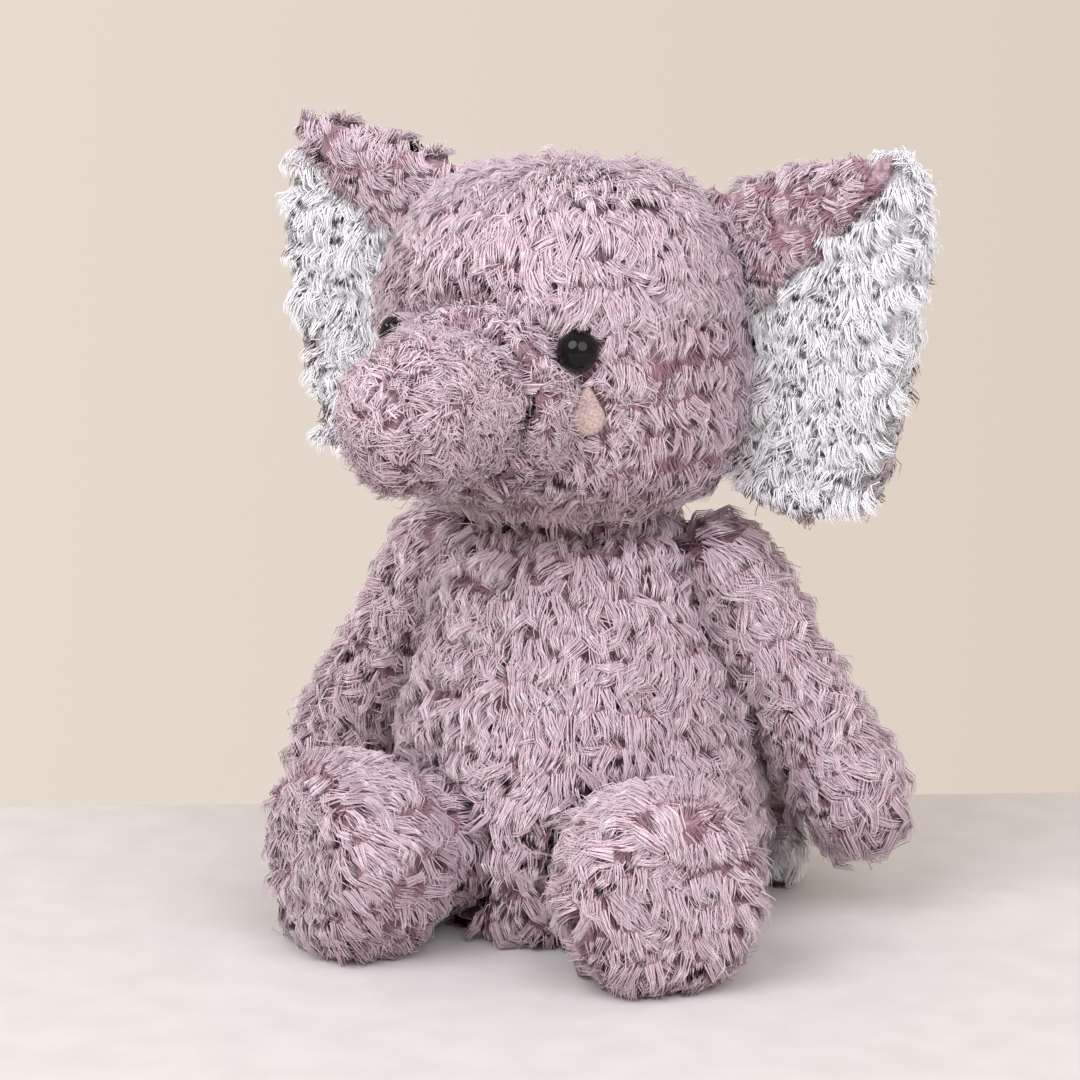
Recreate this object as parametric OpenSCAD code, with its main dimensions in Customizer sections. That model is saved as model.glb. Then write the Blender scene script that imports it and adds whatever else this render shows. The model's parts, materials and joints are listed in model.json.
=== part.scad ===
// Seated stuffed elephant, sewn from long-pile tufted plush.
// +Z is up, the elephant faces -Y and its left side is +X.
// The origin is the centre of the flat seat, on the surface it sits on. Millimetres.

/* [Body] */
// Largest radius of the body, over the pressed-down pile
body_r = 54; // [51:1:56]
// Height of the top of the body
body_h = 126; // [124:1:127]
// Height of the belly, where the body is widest
belly_z = 34; // [30:1:38]
// Radius of the flat seat panel
seat_r = 42; // [40:1:42]
// Thickness of the plush, its knitted backing and the pressed-down pile
plush_t = 4; // [3:0.5:4]
// Radius of the pellet pouch in the seat
pouch_r = 25; // [20:1:26]

/* [Head] */
// Largest radius of the head, over the pressed-down pile
head_r = 52; // [50:1:53]
// Height of the chin above the seat
chin_z = 129.5; // [129:0.5:131]
// Height of the crown above the seat
crown_z = 226; // [222:1:230]
// How far the head's centre sits in front of the body's
head_forward = 10; // [8:1:11]
// How far the head is turned to the elephant's right at rest
head_turn = 13; // [0:1:16]
// Radius of the stuffed neck
neck_r = 22; // [20:1:22]

/* [Face] */
// Diameter of a safety eye
eye_d = 12; // [10:1:13]
// Height of the eyes
eye_z = 181; // [180:1:184]
// Angle of each eye from straight ahead
eye_angle = 34; // [32:1:36]
// Height of each felt tusk
tusk_h = 13.5; // [12:0.5:15]
// Width of each felt tusk
tusk_w = 8.6; // [7:0.2:9]

/* [Trunk] */
// Distance from the head's centre to the seam that the trunk bends at
trunk_root = 60; // [58:1:61]
// Height of the trunk's centre
trunk_z = 165; // [164:1:166]
// Radius of the trunk inside that seam
trunk_root_r = 20; // [18:1:20]
// Distance from the seam to the middle of the trunk's end
trunk_mid = 20; // [17:1:22]
// Half of the width of the trunk's end, and of its length beyond the middle
trunk_half_w = 18.5; // [17:0.5:19]
// Half of the height of the trunk's end
trunk_half_h = 22.5; // [20:0.5:23]
// How far the trunk leans to the elephant's right of the head's own direction
trunk_lean = 10; // [0:1:12]

/* [Ears] */
// Thickness of an ear, both fabrics and the wadding
ear_t = 9; // [8:0.5:9]
// Reach of an ear from the head's centre line
ear_reach = 107; // [98:1:110]
// How far each ear's outer edge is turned forwards
ear_turn = 7; // [0:1:8]
// Distance of the ears behind the head's centre
ear_back = 24; // [23:1:25]
// Height of the ear's tip
ear_top = 233.5; // [230:0.5:236]
// Height of the ear's lowest edge
ear_low = 127; // [126:1:130]

/* [Arms] */
// Radius of an arm at the shoulder seam
shoulder_r = 13; // [12:0.5:13]
// Radius of a hand
hand_r = 15; // [14:0.5:15.5]
// Distance of each shoulder seam from the middle of the body
shoulder_side = 43; // [42:1:44]
// Height of the shoulder seams
shoulder_z = 108.5; // [107:0.5:109]
// Distance of each hand from the middle of the body
hand_side = 87; // [86:1:90]
// Height of each hand's centre
hand_z = 27; // [26:1:32]

/* [Legs] */
// Radius of a leg inside the hip seam
hip_r = 20; // [18:1:20]
// Radius of a foot
foot_r = 28; // [26:1:28]
// Distance from the body's axis to the hip seam
hip_reach = 51; // [50:1:52]
// Distance from the hip seam to the sole
leg_len = 44; // [40:1:46]
// Angle of the left leg from straight ahead
leg_splay_left = 33; // [31:1:39]
// Angle of the right leg from straight ahead
leg_splay_right = 39; // [31:1:39]

/* [Tail] */
// Radius of the tail's tube
tail_r = 4.2; // [3.5:0.1:4.4]
// Angle that the tail wraps round the body, from the middle of the back
tail_wrap = 56; // [45:1:60]

/* [Hidden] */
$fn = 48;

mauve = "#b8a0ac";
deep_mauve = "#a58a97";
white_plush = "#e4e1e5";
felt = "#cbb3ac";
fill_white = "#f2f0ea";
LEFT = 1;
RIGHT = -1;
BIG = 400;              // reach of the blocks that split a form into panels
fill_gap = 0.2;         // between a fabric and what fills it
seam_play = 0.6;        // between two parts that move against each other
hip_play = 1.6;         // the same at the hips, where the leg widens close to its seam
collar_depth = 10;      // how far the body's filling stops below its top

// Body outline
seat_edge = 59;         // half height of the curve under the belly
shoulder_fall = 0.38;   // share of the radius lost between belly and neck
outline_steps = 9;      // straight steps in each half of an outline
neck_at = [0, -4, 126]; // centre that the head turns and nods about
shoulder = [shoulder_side, 2, shoulder_z];
hand = [hand_side, 15, hand_z];

// Head outline
head_mid_z = 170;       // height where the head is widest
crown_power = 3;        // squareness of the upper and the lower half
chin_power = 4;
gusset_half = 20;       // half width of the strip between the head's sides

// Radius of the body at height z
function body_radius(z) =
    z <= belly_z
        ? body_r * pow(1 - pow((belly_z - z) / seat_edge, 2.2), 1 / 2.2)
        : let (t = (z - belly_z) / (body_h - belly_z))
          body_r * (1 - shoulder_fall * pow(t, 1.3)) * pow(max(0, 1 - pow(t, 8)), 0.25);

// Radius of the head at height z
function head_radius(z) =
    z <= head_mid_z
        ? head_r * pow(max(0, 1 - pow((head_mid_z - z) / (head_mid_z - chin_z), chin_power)), 1 / chin_power)
        : head_r * pow(max(0, 1 - pow((z - head_mid_z) / (crown_z - head_mid_z), crown_power)), 1 / crown_power);

// Heights for an outline, packed closer towards its two ends
function heights(low, mid, high) = concat(
    [for (i = [0 : outline_steps]) mid - (mid - low) * cos(90 * i / outline_steps)],
    [for (i = [1 : outline_steps]) mid + (high - mid) * sin(90 * i / outline_steps)]);

module head_place() {
    translate([neck_at[0], neck_at[1], 0]) rotate([0, 0, -head_turn])
        translate([-neck_at[0], -neck_at[1] - head_forward, 0]) children();
}

// A place on the head: turned to angle from straight ahead, with local -Y pointing out of the head
module on_head(side, angle, z) {
    head_place() rotate([0, 0, side * angle]) translate([0, 0, z]) children();
}

module left_or_right(side) {
    mirror([side < 0 ? 1 : 0, 0, 0]) children();
}

// The quarter of space at x * side > 0 and y * front < 0
module quadrant(side, front) {
    translate([side > 0 ? 0 : -BIG, front > 0 ? -BIG : 0, -BIG / 4]) cube([BIG, BIG, 2 * BIG]);
}

// ---------------------------------------------------------------- body

module body_form(inset) {
    rotate_extrude() polygon(concat(
        [[0, inset]],
        [for (z = heights(0, belly_z, body_h))
            [max(0, body_radius(z) - inset), max(inset, min(z, body_h - inset))]],
        [[0, body_h - inset]]));
}

// What the neck and the arms need room for in the body
module upper_sockets() {
    translate(neck_at) sphere(r = neck_r + seam_play);
    for (side = [LEFT, RIGHT]) left_or_right(side) translate(shoulder) {
        sphere(r = shoulder_r + seam_play);
        arm_swing_room();
    }
}

// The cone round the shoulder's side-to-side axis that the inner side of an arm sweeps along
module arm_swing_room() {
    inner = shoulder_r + seam_play;
    side_angle = acos(arm_line[0] / arm_len) + asin((hand_r - shoulder_r) / (arm_len - 2 / 3 * hand_r));
    start = inner / sin(side_angle) - inner;
    rotate([0, 90, 0]) translate([0, 0, -inner])
        cylinder(r1 = start * tan(side_angle), r2 = (start + 2 * inner) * tan(side_angle), h = 2 * inner);
}

module body_shell() {
    difference() {
        body_form(0);
        body_form(plush_t);
        translate([0, 0, -1]) cylinder(r = seat_r, h = plush_t + 1.01);
        upper_sockets();
        for (side = [LEFT, RIGHT]) leg_place(side) sphere(r = hip_r + hip_play);
    }
}

module body_panel(side, front) {
    intersection() {
        body_shell();
        quadrant(side, front);
    }
}

module seat_panel() color(deep_mauve) cylinder(r = seat_r, h = plush_t);
module body_front_left() color(mauve) body_panel(LEFT, 1);
module body_front_right() color(mauve) body_panel(RIGHT, 1);
module body_back_left() color(deep_mauve) body_panel(LEFT, -1);
module body_back_right() color(deep_mauve) body_panel(RIGHT, -1);

pouch_high = 22;
pouch_round = 7;

// The pouch lies on the seat panel and its upper edge is round
module pouch_form(grow) {
    low = plush_t + fill_gap;
    rotate_extrude() {
        translate([0, low - grow]) square([pouch_r - pouch_round, pouch_high - low + 2 * grow]);
        translate([0, low - grow]) square([pouch_r + grow, pouch_high - pouch_round - low + grow]);
        translate([pouch_r - pouch_round, pouch_high - pouch_round]) circle(r = pouch_round + grow);
    }
}

module pellet_pouch() color(fill_white) pouch_form(0);

// The filling stops flat below the collar and in a square pocket behind each hip
module body_stuffing() color(fill_white) difference() {
    pocket = hip_r + hip_play;
    body_form(plush_t + fill_gap);
    pouch_form(fill_gap);
    upper_sockets();
    for (side = [LEFT, RIGHT]) leg_place(side) rotate([0, 0, 11])
        translate([-pocket, -pocket, -pocket]) cube([2 * pocket, 2 * pocket, 40]);
    translate([-BIG / 2, -BIG / 2, body_h - collar_depth]) cube(BIG);
}

// Hand-sewn ladder stitches that close the filling gap in the back seam
stitch_count = 9;
stitch_low = 62;
stitch_step = 4.2;
stitch_r = 0.45;
stitch_len = 4.6;

module closing_stitches() color(deep_mauve)
    for (i = [0 : stitch_count - 1]) let (z = stitch_low + i * stitch_step)
        translate([0, body_radius(z) + stitch_r, z]) rotate([0, 90, 0])
            cylinder(r = stitch_r, h = stitch_len, center = true);

// ---------------------------------------------------------------- neck and head

module neck_stuffing() color(fill_white) translate(neck_at) sphere(r = neck_r);

module head_form(inset) {
    rotate_extrude() polygon(concat(
        [[0, chin_z + inset]],
        [for (z = heights(chin_z, head_mid_z, crown_z))
            [max(0, head_radius(z) - inset), max(chin_z + inset, min(z, crown_z - inset))]],
        [[0, crown_z - inset]]));
}

// The neck's room in the head, in the head's own place
module neck_socket() translate(neck_at) sphere(r = neck_r + seam_play);

// Straight ahead from the head's centre line at the trunk's height, with local +Z pointing out
module muzzle_place() head_place() translate([0, 0, trunk_z]) rotate([90, 0, 0]) children();

muzzle_back = 36;       // where the muzzle starts inside the head
muzzle_base_r = 28;
muzzle_notch = 8;       // depth of the notch behind each tusk

module head_shell() difference() {
    head_place() difference() {
        head_form(0);
        head_form(plush_t);
    }
    neck_socket();
    muzzle_place() cylinder(r = muzzle_base_r, h = BIG / 4);
    for (side = [LEFT, RIGHT]) {
        on_head(side, eye_angle, eye_z) rotate([90, 0, 0]) cylinder(r = shank_r + 0.1, h = BIG / 4);
        tusk_place(side) tusk_form(tusk_t, 0.05);
    }
}

// The padded ring that the trunk comes out of
module muzzle() color(mauve) difference() {
    rim_r = trunk_root_r + seam_play + plush_t;
    muzzle_len = trunk_root - muzzle_back - 3;
    muzzle_place() difference() {
        translate([0, 0, muzzle_back]) rotate_extrude() polygon([
            [0, 0], [muzzle_base_r, 0], [muzzle_base_r, head_r - muzzle_back - 8],
            [muzzle_base_r - 1, muzzle_len - 6], [rim_r, muzzle_len], [0, muzzle_len]]);
        cylinder(r = trunk_root_r + seam_play, h = BIG / 4);
    }
    for (side = [LEFT, RIGHT]) {
        eye_room(side);
        tusk_place(side) translate([0, 0, -muzzle_notch]) tusk_form(muzzle_notch + tusk_t + 2, 0.3);
    }
}

module head_strip() head_place()
    translate([-gusset_half, -BIG / 2, 0]) cube([2 * gusset_half, BIG, BIG]);

// The front of the head below the muzzle
module chin_room() head_place() translate([-BIG / 2, -BIG, 0]) cube([BIG, BIG, trunk_z]);

module head_side(side) intersection() {
    difference() {
        head_shell();
        head_strip();
    }
    head_place() translate([side > 0 ? 0 : -BIG, -BIG / 2, 0]) cube([BIG, BIG, BIG]);
}

module head_left() color(mauve) head_side(LEFT);
module head_right() color(mauve) head_side(RIGHT);
module head_gusset() color(mauve) difference() {
    intersection() {
        head_shell();
        head_strip();
    }
    chin_room();
}
module chin_panel() color(mauve) intersection() {
    head_shell();
    head_strip();
    chin_room();
}

module head_stuffing() color(fill_white) difference() {
    head_place() head_form(plush_t + fill_gap);
    neck_socket();
    muzzle_place() translate([0, 0, muzzle_back]) cylinder(r = muzzle_base_r, h = BIG / 4);
    for (side = [LEFT, RIGHT]) eye_room(side);
}

// ---------------------------------------------------------------- eyes and tusks

shank_r = 1.6;
shank_len = 15;
shank_ring_r = 2.1;
shank_rings = 4;
washer_r = 6.5;
washer_t = 1.4;
washer_gap = 1.3;       // from the washer's flat face to the curved fabric, at its middle
eye_flat = 1.2;         // from the dome's centre back to its flat rim

// What a shank and its washer take up, from inside the head out
module eye_room(side) on_head(side, eye_angle, eye_z) rotate([90, 0, 0])
    translate([0, 0, head_r - shank_len - 1]) cylinder(r = washer_r + 0.3, h = BIG / 4);

// A domed head on a ringed shank, pressed through the fabric
module eye(side) color("#0c0b0c") on_head(side, eye_angle, eye_z)
    rotate([90, 0, 0]) translate([0, 0, head_radius(eye_z) + eye_flat + 0.1]) {
        intersection() {
            sphere(r = eye_d / 2);
            translate([0, 0, -eye_flat]) cylinder(r = eye_d, h = eye_d);
        }
        translate([0, 0, -eye_flat - shank_len]) cylinder(r = shank_r, h = shank_len);
        for (i = [0 : shank_rings - 1])
            translate([0, 0, -eye_flat - shank_len + 1 + 1.8 * i])
                cylinder(r1 = shank_r, r2 = shank_ring_r, h = 0.9);
    }

// The toothed washer that locks each shank inside the head
module eye_washer(side) color("#e9e7e2") on_head(side, eye_angle, eye_z)
    rotate([90, 0, 0]) translate([0, 0, head_radius(eye_z) - plush_t - washer_t - washer_gap]) difference() {
        union() {
            cylinder(r = washer_r, h = washer_t);
            translate([0, 0, -1.2]) cylinder(r = shank_ring_r + 1.6, h = 1.3);
        }
        translate([0, 0, -3]) cylinder(r = shank_ring_r + 0.05, h = 6);
    }

module eye_left() eye(LEFT);
module eye_right() eye(RIGHT);
module eye_left_washer() eye_washer(LEFT);
module eye_right_washer() eye_washer(RIGHT);

tusk_angle = 37;
tusk_z = 164;
tusk_t = 2.2;
tusk_sink = 0.9;        // how far the felt presses into the plush

module tusk_place(side) on_head(side, tusk_angle, tusk_z)
    translate([0, -head_radius(tusk_z) + tusk_sink, 0]) rotate([90, 0, 0]) children();

// Teardrop with its point up: a round lower end and straight flanks that meet it
module tusk_form(height, grow) linear_extrude(height = height) union() {
    round_r = tusk_w / 2;
    low_y = -tusk_h / 2 + round_r;
    rise = tusk_h - 2 * round_r + round_r;
    lean = asin(round_r / rise);
    translate([0, low_y]) circle(r = round_r + grow);
    polygon([[-(round_r + grow) * cos(lean), low_y + round_r * sin(lean)],
             [(round_r + grow) * cos(lean), low_y + round_r * sin(lean)],
             [0, low_y + rise + grow]]);
}

module tusk_left() color(felt) tusk_place(LEFT) tusk_form(tusk_t, 0);
module tusk_right() color(felt) tusk_place(RIGHT) tusk_form(tusk_t, 0);

// ---------------------------------------------------------------- trunk

trunk_gusset_half = 8;
trunk_gusset_tilt = 24; // slope of the gusset's upper end
trunk_fn = 28;
trunk_half = [trunk_half_w, trunk_half_w, trunk_half_h];

module trunk_place() head_place() translate([0, -trunk_root, trunk_z])
    rotate([0, 0, -trunk_lean]) children();

module trunk_form(inset) hull() {
    sphere(r = trunk_root_r - inset, $fn = trunk_fn);
    translate([0, -trunk_mid, 0]) scale([for (h = trunk_half) h - inset]) sphere(r = 1, $fn = trunk_fn);
}

module trunk_shell() difference() {
    trunk_form(0);
    trunk_form(plush_t);
}

// Under and in front of the trunk: where the gusset runs
module trunk_gusset_room() rotate([trunk_gusset_tilt, 0, 0])
    translate([-trunk_gusset_half, -BIG, -BIG + 6]) cube([2 * trunk_gusset_half, 2 * BIG, BIG]);

module trunk_side(side) trunk_place() left_or_right(side) difference() {
    intersection() {
        trunk_shell();
        translate([0, -BIG / 2, -BIG / 2]) cube([BIG, BIG, BIG]);
    }
    trunk_gusset_room();
}

module trunk_left() color(mauve) trunk_side(LEFT);
module trunk_right() color(mauve) trunk_side(RIGHT);
module trunk_gusset() color(mauve) trunk_place() intersection() {
    trunk_shell();
    trunk_gusset_room();
}
module trunk_stuffing() color(fill_white) trunk_place() trunk_form(plush_t + fill_gap);

// ---------------------------------------------------------------- ears

ear_skin_t = 3;
ear_clear = 1.6;        // between the ear's inner edge and the head
fold_t = 4;             // thickness of the folded-over top of the ear
fold_drop = 26;         // how far the fold's lower end lies below its upper end
ear_steps = 8;

// Distance from the centre line at which the ear's front face clears the head, at height z
function ear_root(z) =
    let (front = ear_back - ear_t / 2 - fold_t)
    sqrt(max(0, pow(head_radius(z), 2) - pow(front, 2))) + ear_clear;

ear_root_low = ear_low + 8;
ear_root_high = ear_top - 18;

// Seen from the front: down the head's side, round the bottom, up the outer edge to the tip
function ear_outline() = concat(
    [for (i = [0 : ear_steps]) let (z = ear_root_high + (ear_root_low - ear_root_high) * i / ear_steps)
        [max(ear_root(z), i < 2 ? 36 : 0), z]],
    [[ear_reach - 42, ear_low], [ear_reach - 24, ear_low + 2], [ear_reach - 13, ear_low + 9],
     [ear_reach - 7, ear_low + 26], [ear_reach - 2, ear_low + 55], [ear_reach, ear_low + 84],
     [ear_reach - 1, ear_top - 7], [ear_reach - 5, ear_top]]);

// The part of the ear that is folded over to the front along its top edge
function fold_outline() =
    let (low_z = ear_root_high - fold_drop)
    [[40, ear_root_high], [ear_root(low_z) + 5, low_z + 4], [ear_root(low_z) + 8.5, low_z],
     [ear_reach - 7, ear_top - 6], [ear_reach - 6, ear_top - 1]];

ear_hinge_x = 52;       // distance of the ear's seam from the head's centre line

module ear_place(side) head_place() left_or_right(side)
    translate([ear_hinge_x, ear_back, 0]) rotate([0, 0, -ear_turn]) translate([-ear_hinge_x, 0, 0])
    rotate([90, 0, 0]) children();

// A flat layer of the ear between two depths, counted forwards from its middle
module ear_layer(from, to) translate([0, 0, from]) linear_extrude(height = to - from) children();

module ear_back_panel(side) color(deep_mauve) ear_place(side) {
    ear_layer(-ear_t / 2, -ear_t / 2 + ear_skin_t) polygon(ear_outline());
    ear_layer(ear_t / 2, ear_t / 2 + fold_t) polygon(fold_outline());
    // the strip that joins the fold to the back, over the top edge
    ear_layer(-ear_t / 2, ear_t / 2 + fold_t) polygon([
        [40, ear_root_high], [ear_reach - 6, ear_top - 1],
        [ear_reach - 6, ear_top + 1.5], [39, ear_root_high + 2.5]]);
}

module ear_lining(side) color(white_plush) ear_place(side) difference() {
    ear_layer(ear_t / 2 - ear_skin_t, ear_t / 2) polygon(ear_outline());
    ear_edge_room();
}

module ear_wadding(side) color(fill_white) ear_place(side) difference() {
    ear_layer(-ear_t / 2 + ear_skin_t, ear_t / 2 - ear_skin_t) polygon(ear_outline());
    ear_edge_room();
}

// What the strip over the top edge takes up
module ear_edge_room() translate([0, 0, -BIG / 2]) linear_extrude(height = BIG) polygon([
    [30, ear_root_high], [40, ear_root_high], [ear_reach - 6, ear_top - 1],
    [ear_reach - 6, ear_top + 20], [30, ear_top + 20]]);

module ear_left_back() ear_back_panel(LEFT);
module ear_left_lining() ear_lining(LEFT);
module ear_left_wadding() ear_wadding(LEFT);
module ear_right_back() ear_back_panel(RIGHT);
module ear_right_lining() ear_lining(RIGHT);
module ear_right_wadding() ear_wadding(RIGHT);

// ---------------------------------------------------------------- arms

arm_line = hand - shoulder;
arm_len = norm(arm_line);
arm_tilt = acos(-arm_line[2] / arm_len);
arm_heading = atan2(arm_line[1], arm_line[0]);
arc_steps = 6;

// Outline of a round-ended taper from radius ra at 0 to rb at len, to turn about its axis
function taper_outline(ra, rb, len) =
    let (lean = asin((rb - ra) / len))
    concat(
        [for (i = [0 : arc_steps]) let (a = -90 + (90 - lean) * i / arc_steps) [ra * cos(a), ra * sin(a)]],
        [for (i = [0 : arc_steps]) let (a = -lean + (90 + lean) * i / arc_steps)
            [rb * cos(a), len + rb * sin(a)]]);

// Local +Z runs from the shoulder to the hand, and local +X points away from the body
module arm_place(side) left_or_right(side) translate(shoulder)
    rotate([0, 0, arm_heading]) rotate([0, 180 - arm_tilt, 0]) rotate([0, 0, 180]) children();

module arm_solid(inset, angle = 360) rotate_extrude(angle = angle)
    polygon(taper_outline(shoulder_r - inset, hand_r - inset, arm_len - hand_r + hand_r / 3));

// Half of the sleeve, from the start angle round through 180 degrees
module arm_half(side, start) color(mauve) arm_place(side) rotate([0, 0, start]) difference() {
    arm_solid(0, 180);
    arm_solid(plush_t);
}

module arm_stuffing(side) color(fill_white) arm_place(side) arm_solid(plush_t + fill_gap);

module arm_left_outer() arm_half(LEFT, -90);
module arm_left_inner() arm_half(LEFT, 90);
module arm_left_stuffing() arm_stuffing(LEFT);
module arm_right_outer() arm_half(RIGHT, -90);
module arm_right_inner() arm_half(RIGHT, 90);
module arm_right_stuffing() arm_stuffing(RIGHT);

// ---------------------------------------------------------------- legs

sole_round = 6;
leg_flare_from = 7;     // where the leg starts to widen beyond the hip seam
leg_flare_to = 18;

// Local +Z runs along the leg from the hip to the sole, local +X points up
module hip_place(side) rotate([0, 0, side > 0 ? leg_splay_left : leg_splay_right])
    translate([0, -hip_reach, foot_r]) rotate([90, 0, 0]) rotate([0, 0, 90]) children();
module leg_place(side) left_or_right(side) hip_place(side) children();

function leg_outline(inset) =
    let (hip = hip_r - inset, foot = foot_r - inset, edge = sole_round - inset / 2,
         last = acos(leg_flare_from / hip_r))
    concat(
        [for (i = [0 : arc_steps]) let (a = -90 + (90 + 90 - last) * i / arc_steps) [hip * cos(a), hip * sin(a)]],
        [[foot, leg_flare_to]],
        [for (i = [0 : arc_steps]) let (a = 90 * i / arc_steps)
            [foot - edge + edge * cos(a), leg_len - inset - edge + edge * sin(a)]],
        [[0, leg_len - inset]]);

module leg_solid(inset, angle = 360) rotate_extrude(angle = angle) polygon(leg_outline(inset));

// Upper or lower half of the leg's tube, open at the sole
module leg_half(side, start) color(mauve) leg_place(side) rotate([0, 0, start]) difference() {
    leg_solid(0, 180);
    leg_solid(plush_t);
    translate([0, 0, leg_len - plush_t]) cylinder(r = foot_r - sole_round, h = plush_t + 1);
}

module foot_sole(side) color(mauve) leg_place(side)
    translate([0, 0, leg_len - plush_t]) cylinder(r = foot_r - sole_round, h = plush_t);

module leg_stuffing(side) color(fill_white) leg_place(side) leg_solid(plush_t + fill_gap);

module leg_left_top() leg_half(LEFT, -90);
module leg_left_under() leg_half(LEFT, 90);
module foot_left_sole() foot_sole(LEFT);
module leg_left_stuffing() leg_stuffing(LEFT);
module leg_right_top() leg_half(RIGHT, -90);
module leg_right_under() leg_half(RIGHT, 90);
module foot_right_sole() foot_sole(RIGHT);
module leg_right_stuffing() leg_stuffing(RIGHT);

// ---------------------------------------------------------------- tail

tail_high = 38;
tail_end_z = 17;
tail_rings = 18;
tail_sides = 10;
tail_stand = 6;         // how far the tail's end stands off the body

// The tail's centre line: round the body from the back towards the left, then down
function tail_point(t) =
    let (a = tail_wrap * (1 - pow(1 - t, 1.7)), z = tail_high + (tail_end_z - tail_high) * pow(t, 2.4),
         r = body_r + tail_r + 0.4 + tail_stand * (1 - pow(1 - t, 4)))
    [r * sin(a), r * cos(a), z];

// Closed tube of radius r along f(t) from t0 to t1
function tube_ring(t, r) =
    let (d = tail_point(min(1, t + 0.01)) - tail_point(max(0, t - 0.01)), u = d / norm(d),
         side = cross(u, [0, 0, 1]) / norm(cross(u, [0, 0, 1])), up = cross(side, u))
    [for (k = [0 : tail_sides - 1]) let (a = 360 * k / tail_sides)
        tail_point(t) + r * (cos(a) * side + sin(a) * up)];

module tail_tube(r, t0, t1) {
    rings = [for (i = [0 : tail_rings]) each tube_ring(t0 + (t1 - t0) * i / tail_rings, r)];
    n = tail_sides;
    polyhedron(rings, concat(
        [[for (k = [0 : n - 1]) k]],
        [for (i = [0 : tail_rings - 1], k = [0 : n - 1])
            let (a = i * n + k, b = i * n + (k + 1) % n) [a, a + n, b + n, b]],
        [[for (k = [n - 1 : -1 : 0]) tail_rings * n + k]]));
}

module tail_cover() color(deep_mauve) tail_tube(tail_r, 0, 1);

tuft_len = 15;
tuft_swell = 1.1;

// The white tuft sewn into the end of the tail, with its own end cut to meet the tube's
module tail_tuft() color(white_plush) {
    tuft_at = tail_point(1);
    along = tail_point(1) - tail_point(0.98);
    translate(tuft_at) rotate([0, acos(along[2] / norm(along)), atan2(along[1], along[0])]) rotate_extrude()
        polygon(concat([[0, 0.1]],
            [for (i = [0 : arc_steps]) let (a = 50 * i / arc_steps)
                [tail_r - 0.6 + tuft_swell * sin(2 * a), 0.1 + tuft_len * i / arc_steps * 0.7]],
            [[0, tuft_len]]));
}

seat_panel();
body_front_left();
body_front_right();
body_back_left();
body_back_right();
body_stuffing();
pellet_pouch();
closing_stitches();
neck_stuffing();
head_left();
head_right();
head_gusset();
chin_panel();
muzzle();
head_stuffing();
eye_left();
eye_right();
eye_left_washer();
eye_right_washer();
tusk_left();
tusk_right();
trunk_left();
trunk_right();
trunk_gusset();
trunk_stuffing();
ear_left_back();
ear_left_lining();
ear_left_wadding();
ear_right_back();
ear_right_lining();
ear_right_wadding();
arm_left_outer();
arm_left_inner();
arm_left_stuffing();
arm_right_outer();
arm_right_inner();
arm_right_stuffing();
leg_left_top();
leg_left_under();
foot_left_sole();
leg_left_stuffing();
leg_right_top();
leg_right_under();
foot_right_sole();
leg_right_stuffing();
tail_cover();
tail_tuft();
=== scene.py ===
"""A seated stuffed elephant in long-pile tufted plush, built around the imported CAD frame.

Each sewn part is a padded cover with rows of tufts on it. A tuft is a fan of strands and a strand is a
bundle of fibres, each a closed tapered tube that follows the cover's surface. Lengths are in metres.
"""
import json
import math

import bmesh
import bpy
import numpy as np
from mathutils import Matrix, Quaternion, Vector, noise
from mathutils.bvhtree import BVHTree


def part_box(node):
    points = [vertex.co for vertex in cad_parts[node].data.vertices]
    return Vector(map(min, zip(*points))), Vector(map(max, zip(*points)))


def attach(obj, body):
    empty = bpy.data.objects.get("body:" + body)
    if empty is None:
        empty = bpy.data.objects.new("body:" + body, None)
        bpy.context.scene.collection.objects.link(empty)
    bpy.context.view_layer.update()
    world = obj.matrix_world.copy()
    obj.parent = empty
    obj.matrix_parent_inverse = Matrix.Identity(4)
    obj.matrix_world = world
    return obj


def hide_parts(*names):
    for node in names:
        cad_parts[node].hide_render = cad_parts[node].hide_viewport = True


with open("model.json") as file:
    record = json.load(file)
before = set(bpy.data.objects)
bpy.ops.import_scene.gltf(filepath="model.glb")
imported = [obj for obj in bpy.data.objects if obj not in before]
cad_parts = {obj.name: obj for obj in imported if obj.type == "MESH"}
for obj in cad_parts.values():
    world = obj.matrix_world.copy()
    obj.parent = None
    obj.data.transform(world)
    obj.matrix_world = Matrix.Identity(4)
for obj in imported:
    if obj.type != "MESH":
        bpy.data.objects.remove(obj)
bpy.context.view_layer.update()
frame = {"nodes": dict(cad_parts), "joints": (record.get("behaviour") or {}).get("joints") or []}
scene = bpy.context.scene
joints = {j["name"]: j for j in frame["joints"]}

MM = 0.001
UP = np.array([0.0, 0.0, 1.0])

# ---------------------------------------------------------------- camera, light and floor

CAMERA_AZIMUTH = math.radians(17)
CAMERA_ELEVATION = math.radians(12)
CAMERA_DISTANCE = 1.1
CAMERA_TARGET = Vector((0, 0, 0.12))
CAMERA_YAW = math.radians(0.62)
CAMERA_PITCH = math.radians(-0.34)
CAMERA_LENS = 122.2
BOARD_BEHIND = 0.1118       # from the seat's centre back to the board's edge
BOARD_TURN = math.radians(20)
BOARD_SIZE = (5.0, 4.0, 0.006)
BOARD_CORNER = 0.002


def srgb(red, green, blue):
    """Linear colour of an sRGB one, each given from 0 to 255."""
    values = np.array([red, green, blue]) / 255
    linear = np.where(values <= 0.04045, values / 12.92, ((values + 0.055) / 1.055) ** 2.4)
    return (*linear.tolist(), 1.0)


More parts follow.
